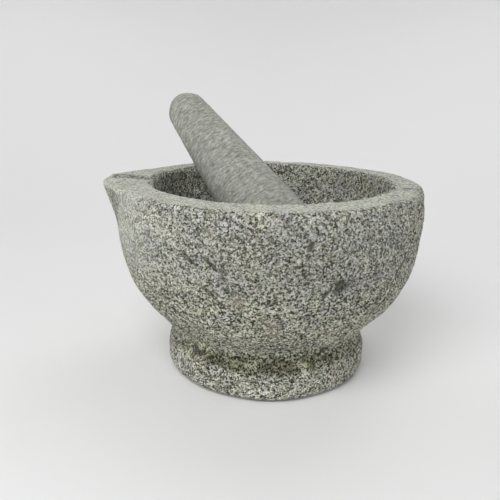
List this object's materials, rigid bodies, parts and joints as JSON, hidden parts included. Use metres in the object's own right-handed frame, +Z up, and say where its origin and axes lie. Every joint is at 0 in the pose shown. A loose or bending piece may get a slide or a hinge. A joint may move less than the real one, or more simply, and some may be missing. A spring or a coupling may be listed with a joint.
{
  "type": "mortar and pestle",
  "caption": "Molcajete: a footed round stone mortar with a blunt pouring spout, and a loose tapered stone pestle leaning in its bowl.",
  "frame": {"origin": "centre of the foot's flat underside, on the mortar's axis, at the level that the mortar stands on", "axes": "+Z up along the mortar's axis, -X towards the tip of the pouring spout; the pestle's narrow end leans back and to the left, towards -X and +Y"},
  "size_m": [0.1668, 0.16, 0.1452],
  "materials": {
    "granite_pecked": "coarsely pecked grey granite, matte, with a paler honed rim",
    "granite_honed": "honed grey granite, matte, with fine marks around the shaft"
  },
  "bodies": {
    "mortar": {"mortar": "granite_pecked"},
    "pestle": {"pestle": "granite_honed"}
  },
  "joints": [
    {"name": "pestle_lift", "type": "slide", "parent": "mortar", "child": "pestle", "axis": [0, 0, 1], "range_m": [0, 0.12]}
  ]
}
